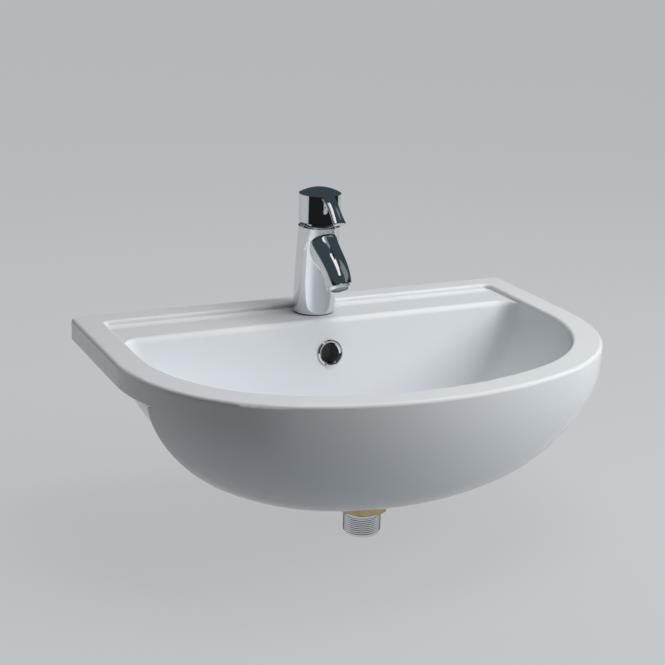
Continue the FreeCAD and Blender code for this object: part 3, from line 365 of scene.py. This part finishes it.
# The seat gets raw china; the throat gets bare china darkened with painted shade.
for zone, colour in ((seat, RAW_CHINA), (throat, BARE_AND_SHADED_THROAT)):
    bare_and_shaded = tree.nodes.new("ShaderNodeMix")
    bare_and_shaded.data_type = "RGBA"
    tree.links.new(zone, bare_and_shaded.inputs["Factor"])
    tree.links.new(tone, bare_and_shaded.inputs["A"])
    bare_and_shaded.inputs["B"].default_value = (*colour, 1)
    tone = bare_and_shaded.outputs["Result"]
tree.links.new(tone, glaze.inputs["Base Color"])
dull = tree.nodes.new("ShaderNodeMix")
tree.links.new(combine(tree, "MAXIMUM", seat, throat), dull.inputs["Factor"])
tree.links.new(spread(tree, cloud, 0.06, 0.10), dull.inputs["A"])
dull.inputs["B"].default_value = RAW_ROUGHNESS
tree.links.new(dull.outputs["Result"], glaze.inputs["Roughness"])
tree.links.new(relief(tree, place, 45, 0.00012, 0.35, 1), glaze.inputs["Normal"])

# The glaze runs over the line where the rim's upright side meets the hull.  The side takes the
# hull's own normals there, so the shade flows from one to the other.
china = bmesh.new()
china.from_mesh(nodes["basin"].data)
own_normal = china.loops.layers.float_vector.new("own_normal")
corners = [corner for face in china.faces for corner in face.loops]
for corner, normal in zip(corners, nodes["basin"].data.corner_normals):
    corner[own_normal] = normal.vector
bmesh.ops.remove_doubles(china, verts=china.verts, dist=SAME_POINT)
for point in china.verts:
    if abs(point.co.z) < ON_THE_LINE and point.co.y < HULL_BACK:
        hull = [corner[own_normal].copy() for corner in point.link_loops
                if -MOST_LEAN < corner[own_normal].z < -UPRIGHT]
        for corner in point.link_loops:
            upright = abs(corner[own_normal].z) < UPRIGHT
            if hull and upright and corner[own_normal].dot(hull[0]) > SAME_SIDE:
                corner[own_normal] = hull[0]
china_mesh = bpy.data.meshes.new("glazed_basin")
china.to_mesh(china_mesh)
china.free()
china_mesh.normals_split_custom_set([n.vector for n in china_mesh.attributes["own_normal"].data])
china_mesh.attributes.remove(china_mesh.attributes["own_normal"])
glazed_basin = placed("glazed_basin", china_mesh, white_glaze, "basin_assembly")
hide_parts("basin")


# ---- Overflow ring ----
# Brass ring, chrome plated, pressed into the overflow hole.  Its flared lip stands a little
# proud of the rear wall of the bowl.
def toned_finish(name, tones, clouds, roughness, grain=None, metallic=0.0):
    """A finish of two close tones in clouds, with roughness that follows them and a grain."""
    made = bpy.data.materials.new(name)
    made.use_nodes = True
    tree = made.node_tree
    shader = tree.nodes["Principled BSDF"]
    shader.inputs["Metallic"].default_value = metallic
    place, cloud, tone = near_tones(tree, tones, *clouds)
    tree.links.new(tone, shader.inputs["Base Color"])
    tree.links.new(spread(tree, cloud, *roughness), shader.inputs["Roughness"])
    if grain:
        tree.links.new(relief(tree, place, *grain), shader.inputs["Normal"])
    return made


def dress(finish, *names):
    """Gives a finish to pieces that keep their own shape."""
    for name in names:
        nodes[name].data.materials.clear()
        nodes[name].data.materials.append(finish)


bright_chrome = toned_finish("bright_chrome", ((0.80, 0.815, 0.83), (0.76, 0.775, 0.79)),
                             clouds=(60, 3), roughness=(0.035, 0.07),
                             grain=(160, 0.00002, 0.25, 2), metallic=1.0)
dress(bright_chrome, "overflow_ring")


# ---- Waste body ----
# Chrome plated brass tail with a broad flange and side slots for the overflow water.  The end
# of the tail is turned down to the root of its thread.
TAIL_END = cad_bounds[0][2]
THREADED_LENGTH = 0.0246
THREAD_ROOT = 0.01955
SHARP_ANGLE = math.radians(28)


def upright_axis(node):
    """The middle of a node's box, as seen from above."""
    low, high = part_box(node)
    return (low[0] + high[0]) / 2, (low[1] + high[1]) / 2


def finished(name, shape, finish, body):
    """Smooths a made shape between its sharp edges and puts it in the scene."""
    for face in shape.faces:
        face.smooth = True
    for edge in shape.edges:
        edge.smooth = len(edge.link_faces) == 2 and edge.calc_face_angle() < SHARP_ANGLE
    mesh = bpy.data.meshes.new(name)
    shape.to_mesh(mesh)
    shape.free()
    return placed(name, mesh, finish, body)


waste_axis = upright_axis("waste_body")
tail = bmesh.new()
tail.from_mesh(nodes["waste_body"].data)
bmesh.ops.remove_doubles(tail, verts=tail.verts, dist=SAME_POINT)
for point in tail.verts:
    away = Vector((point.co.x - waste_axis[0], point.co.y - waste_axis[1]))
    if point.co.z < TAIL_END + THREADED_LENGTH and away.length > THREAD_ROOT:
        away *= THREAD_ROOT / away.length
        point.co.x, point.co.y = waste_axis[0] + away.x, waste_axis[1] + away.y
threaded_waste = finished("threaded_waste", tail, bright_chrome, "basin_assembly")
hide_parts("waste_body")


# ---- Waste thread ----
# The pipe thread of the tail, a fine V with a worn flat crest.  The backnut runs on it, and
# its lower end takes the nut of the trap.
THREAD_PITCH = 0.002309
THREAD_CREST = 0.02095
THREAD_START = 0.0008
THREAD_FINISH = 0.0244
THREAD_SUNK = 0.0002
FLANK_SHARE = 0.36
CREST_SHARE = 0.08


def thread_ridge(axis, low, high, root, crest, pitch, steps):
    """Helical ridge of a V thread with a flat crest, round an upright axis: one turn, repeated."""
    ridge = bmesh.new()
    flank, flat = FLANK_SHARE * pitch, CREST_SHARE * pitch
    profile = [ridge.verts.new((axis[0] + radius, axis[1], low + flank + height))
               for radius, height in ((root, -flank), (crest, -flat), (crest, flat), (root, flank))]
    ring = [ridge.edges.new((profile[k], profile[(k + 1) % 4])) for k in range(4)]
    bmesh.ops.spin(ridge, geom=profile + ring, cent=(*axis, 0), axis=(0, 0, 1),
                   dvec=(0, 0, pitch / steps), angle=2 * math.pi, steps=steps)
    turn = ridge.verts[:] + ridge.edges[:] + ridge.faces[:]
    for k in range(1, int((high - low - 2 * flank) / pitch)):
        copy = bmesh.ops.duplicate(ridge, geom=turn)["geom"]
        bmesh.ops.translate(ridge, vec=(0, 0, k * pitch),
                            verts=[v for v in copy if isinstance(v, bmesh.types.BMVert)])
    bmesh.ops.remove_doubles(ridge, verts=ridge.verts, dist=SAME_POINT)
    bmesh.ops.holes_fill(ridge, edges=[e for e in ridge.edges if e.is_boundary], sides=4)
    bmesh.ops.recalc_face_normals(ridge, faces=ridge.faces)
    return ridge


pipe_thread = thread_ridge(waste_axis, TAIL_END + THREAD_START, TAIL_END + THREAD_FINISH,
                           THREAD_ROOT - THREAD_SUNK, THREAD_CREST, THREAD_PITCH, steps=40)
finished("waste_thread", pipe_thread, bright_chrome, "basin_assembly")


# ---- Waste seals and backnut ----
# Black rubber washers above and below the china, and a cast brass backnut that pulls the
# flange down on them.
black_rubber = toned_finish("black_rubber", ((0.022, 0.022, 0.023), (0.038, 0.037, 0.036)),
                            clouds=(220, 3), roughness=(0.5, 0.68), grain=(2600, 0.00004, 0.5, 2))
plain_brass = toned_finish("plain_brass", ((0.66, 0.50, 0.24), (0.52, 0.37, 0.17)),
                           clouds=(130, 5), roughness=(0.24, 0.40),
                           grain=(1500, 0.00005, 0.35, 4), metallic=1.0)
dress(black_rubber, "waste_flange_seal", "waste_lower_washer")
dress(plain_brass, "waste_backnut")


# ---- Click waste ----
# A white moulded sleeve on the spider holds a steel spring and a brass plunger.  Pressing the
# chromed plug closes it, and the next press lets the spring lift it again.
white_plastic = toned_finish("white_plastic", ((0.72, 0.72, 0.70), (0.66, 0.66, 0.635)),
                             clouds=(110, 3), roughness=(0.34, 0.46),
                             grain=(2400, 0.00003, 0.4, 2))
dress(white_plastic, "waste_click_sleeve")
dress(plain_brass, "waste_plunger")
dress(bright_chrome, "waste_plug")
dress(black_rubber, "waste_plug_seal")


# ---- Click spring ----
# Coiled steel wire between the floor of the sleeve and the collar of the plunger, made to the
# length of the spring part it stands in for.
WIRE_RADIUS = 0.0006
WIRE_SIDES = 10
COILS = 6
STEPS_PER_COIL = 32
plain_steel = toned_finish("plain_steel", ((0.56, 0.565, 0.57), (0.47, 0.47, 0.475)),
                           clouds=(260, 4), roughness=(0.26, 0.40),
                           grain=(2200, 0.00003, 0.4, 4), metallic=1.0)
spring_low, spring_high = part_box("waste_spring")
coil_radius = (spring_high[0] - spring_low[0]) / 2 - WIRE_RADIUS
rise = spring_high[2] - spring_low[2] - 2 * WIRE_RADIUS
wire_start = (waste_axis[0] + coil_radius, waste_axis[1], spring_low[2] + WIRE_RADIUS)
spring = bmesh.new()
across_the_coil = Matrix.Translation(wire_start) @ Matrix.Rotation(math.pi / 2, 4, "X")
bmesh.ops.create_circle(spring, segments=WIRE_SIDES, radius=WIRE_RADIUS, matrix=across_the_coil)
bmesh.ops.spin(spring, geom=spring.verts[:] + spring.edges[:], cent=(*waste_axis, 0),
               axis=(0, 0, 1), dvec=(0, 0, rise / (COILS * STEPS_PER_COIL)),
               angle=2 * math.pi * COILS, steps=COILS * STEPS_PER_COIL)
bmesh.ops.holes_fill(spring, edges=[e for e in spring.edges if e.is_boundary], sides=0)
bmesh.ops.recalc_face_normals(spring, faces=spring.faces)
click_spring = finished("click_spring", spring, plain_steel, "basin_assembly")
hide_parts("waste_spring")
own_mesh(click_spring)


# ---- Mixer body ----
# Cast brass body and spout in one, ground, polished and chromed.  It stands on a thin rubber
# seal on the round landing of the tap ledge.
dress(bright_chrome, "tap_body")
dress(black_rubber, "tap_base_seal")


# ---- Aerator ----
# A chromed ring screwed into the spout holds a grey jet disc on a rubber seal.  A woven steel
# screen lies over the disc and breaks up the water.
SCREEN_RADIUS = 0.0097
SCREEN_LIFT = 0.0019
WIRE_GAP = 0.0011
WIRE_WIDTH = 0.00035
MOUTH = (0, -0.1006, 0.0668)
OUTLET_TILT = math.radians(34)
grey_plastic = toned_finish("grey_plastic", ((0.17, 0.18, 0.19), (0.135, 0.145, 0.155)),
                            clouds=(120, 3), roughness=(0.38, 0.50),
                            grain=(2400, 0.00003, 0.4, 2))
dress(bright_chrome, "aerator_housing")
dress(grey_plastic, "aerator_insert")
dress(black_rubber, "aerator_seal")
wires = int(2 * SCREEN_RADIUS / WIRE_GAP)
screen = bmesh.new()
bmesh.ops.create_grid(screen, x_segments=wires, y_segments=wires, size=SCREEN_RADIUS)
outside = [point for point in screen.verts if point.co.length > SCREEN_RADIUS]
bmesh.ops.delete(screen, geom=outside, context="VERTS")
bmesh.ops.wireframe(screen, faces=screen.faces, thickness=WIRE_WIDTH, use_replace=True,
                    use_boundary=True, use_even_offset=True)
bmesh.ops.translate(screen, vec=(0, 0, SCREEN_LIFT), verts=screen.verts)
out_of_mouth = Matrix.Translation(MOUTH) @ Matrix.Rotation(math.pi - OUTLET_TILT, 4, "X")
bmesh.ops.transform(screen, matrix=out_of_mouth, verts=screen.verts)
finished("aerator_screen", screen, plain_steel, "basin_assembly")


# ---- Cartridge ----
# A moulded cartridge under the handle: two lapped ceramic discs, a driver and a slotted
# carrier that turns in its neck.  A brass ring nut holds it down under a chromed cover.
lapped_ceramic = toned_finish("lapped_ceramic", ((0.74, 0.70, 0.62), (0.70, 0.66, 0.575)),
                              clouds=(300, 3), roughness=(0.22, 0.34),
                              grain=(3000, 0.00001, 0.3, 2))
dress(white_plastic, "cartridge_body")
dress(black_rubber, "cartridge_seals")
dress(lapped_ceramic, "fixed_disc", "moving_disc")
dress(grey_plastic, "disc_driver", "lever_carrier")
dress(plain_steel, "pivot_pin", "lever_spindle")
dress(plain_brass, "cartridge_nut")
dress(bright_chrome, "cover_ring")


# ---- Handle ----
# Die cast cap and lever in one, polished and chromed.  A grub screw at the back clamps it to
# the square of the spindle, under a small two colour cap: red for hot, blue for cold.
CAP_RADIUS = 0.0021
CAP_LENGTH = 0.0030
CAP_ROUNDING = 0.0003
CAP_PLACE = (0, -0.0202, 0.153)
CAP_HALVES = (("hot_cap", -1, (0.50, 0.02, 0.02)), ("cold_cap", 1, (0.02, 0.06, 0.42)))
SQUARE_EDGE = 1.0
dress(bright_chrome, "handle")
dress(plain_steel, "grub_screw")


def rounded_rod(radius, length, rounding, steps, matrix):
    """A rod whose ends are rounded off."""
    rod = bmesh.new()
    bmesh.ops.create_cone(rod, cap_ends=True, segments=32, radius1=radius, radius2=radius,
                          depth=length, matrix=matrix)
    bmesh.ops.bevel(rod, geom=[e for e in rod.edges if e.calc_face_angle() > SQUARE_EDGE],
                    offset=rounding, segments=steps, profile=0.5, affect="EDGES", material=-1)
    return rod


for name, side, dye in CAP_HALVES:
    cap = rounded_rod(CAP_RADIUS, CAP_LENGTH, CAP_ROUNDING, 3,
                      Matrix.Rotation(-math.pi / 2, 4, "X"))
    bmesh.ops.bisect_plane(cap, geom=cap.verts[:] + cap.edges[:] + cap.faces[:],
                           plane_co=(0, 0, 0), plane_no=(side, 0, 0), clear_inner=True)
    bmesh.ops.holes_fill(cap, edges=[e for e in cap.edges if e.is_boundary], sides=0)
    bmesh.ops.translate(cap, vec=CAP_PLACE, verts=cap.verts)
    dyed = toned_finish(name, (dye, tuple(0.85 * c for c in dye)), clouds=(900, 3),
                        roughness=(0.22, 0.32))
    finished(name, cap, dyed, "lever")


# ---- Fixing under the ledge ----
# A threaded steel stud screwed up into the mixer body.  A rubber gasket, a steel horseshoe
# plate and a long brass nut clamp the mixer down to the china.
STUD_RADIUS = 0.0040
STUD_ROOT = 0.0034
STUD_PITCH = 0.00125
STUD_ROUNDING = 0.0008
STUD_THREAD_START = 0.0008
STUD_THREAD_STOP = 0.0005
STUD_THREAD_SUNK = 0.0001
dress(black_rubber, "fixing_gasket")
dress(plain_steel, "fixing_plate")
dress(plain_brass, "fixing_nut")
stud_low, stud_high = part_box("fixing_stud")
stud_axis = upright_axis("fixing_stud")
stud = rounded_rod(STUD_ROOT, stud_high[2] - stud_low[2], STUD_ROUNDING, 2,
                   Matrix.Translation((*stud_axis, (stud_low[2] + stud_high[2]) / 2)))
threaded_stud = finished("threaded_stud", stud, plain_steel, "basin_assembly")
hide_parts("fixing_stud")
stud_thread = thread_ridge(stud_axis, stud_low[2] + STUD_THREAD_START,
                           stud_high[2] - STUD_THREAD_STOP, STUD_ROOT - STUD_THREAD_SUNK,
                           STUD_RADIUS, STUD_PITCH, steps=20)
finished("stud_thread", stud_thread, plain_steel, "basin_assembly")
